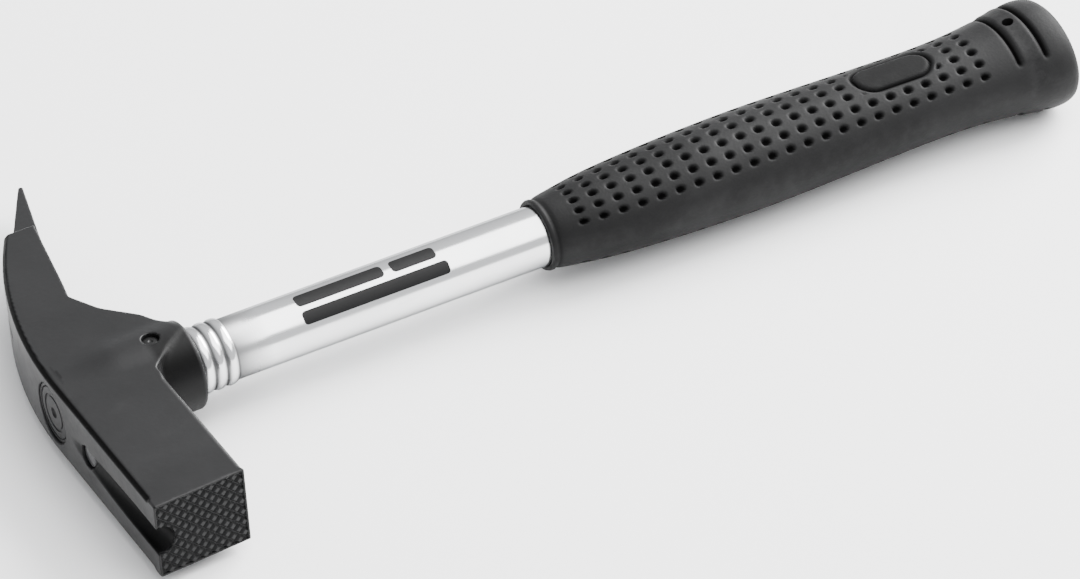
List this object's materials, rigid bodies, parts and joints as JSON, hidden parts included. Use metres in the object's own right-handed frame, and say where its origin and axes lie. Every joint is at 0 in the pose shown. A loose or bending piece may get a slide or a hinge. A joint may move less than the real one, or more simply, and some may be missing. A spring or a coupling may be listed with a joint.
{
  "type": "roofing hammer",
  "caption": "Roofing hammer with a milled square face, magnetic nail groove, split claw with a spike, chromed tube handle and rubber grip.",
  "frame": {"origin": "centre of the striking face", "axes": "+X along the handle from the head to the grip, -Y the striking side (the face leans 4 degrees towards the grip), +Y to the claw, +Z out of the upper cheek of the hammer lying on its side"},
  "size_m": [0.325, 0.179, 0.0306],
  "materials": {
    "head_paint": "semi-gloss black coating with a light hammered grain",
    "magnet_steel": "ground, dull",
    "tube_chrome": "bright chrome plating",
    "plug_steel": "turned, phosphated",
    "pin_steel": "painted over with the head",
    "grip_rubber": "matte moulded rubber",
    "plug_plastic": "moulded",
    "print_film": "flat black printed film"
  },
  "bodies": {
    "root": {"head": "head_paint", "nail_magnet": "magnet_steel", "handle_tube": "tube_chrome", "eye_plug": "plug_steel", "cross_pin": "pin_steel", "grip_sleeve": "grip_rubber", "tube_end_plug": "plug_plastic", "tube_label": "print_film"}
  },
  "joints": []
}
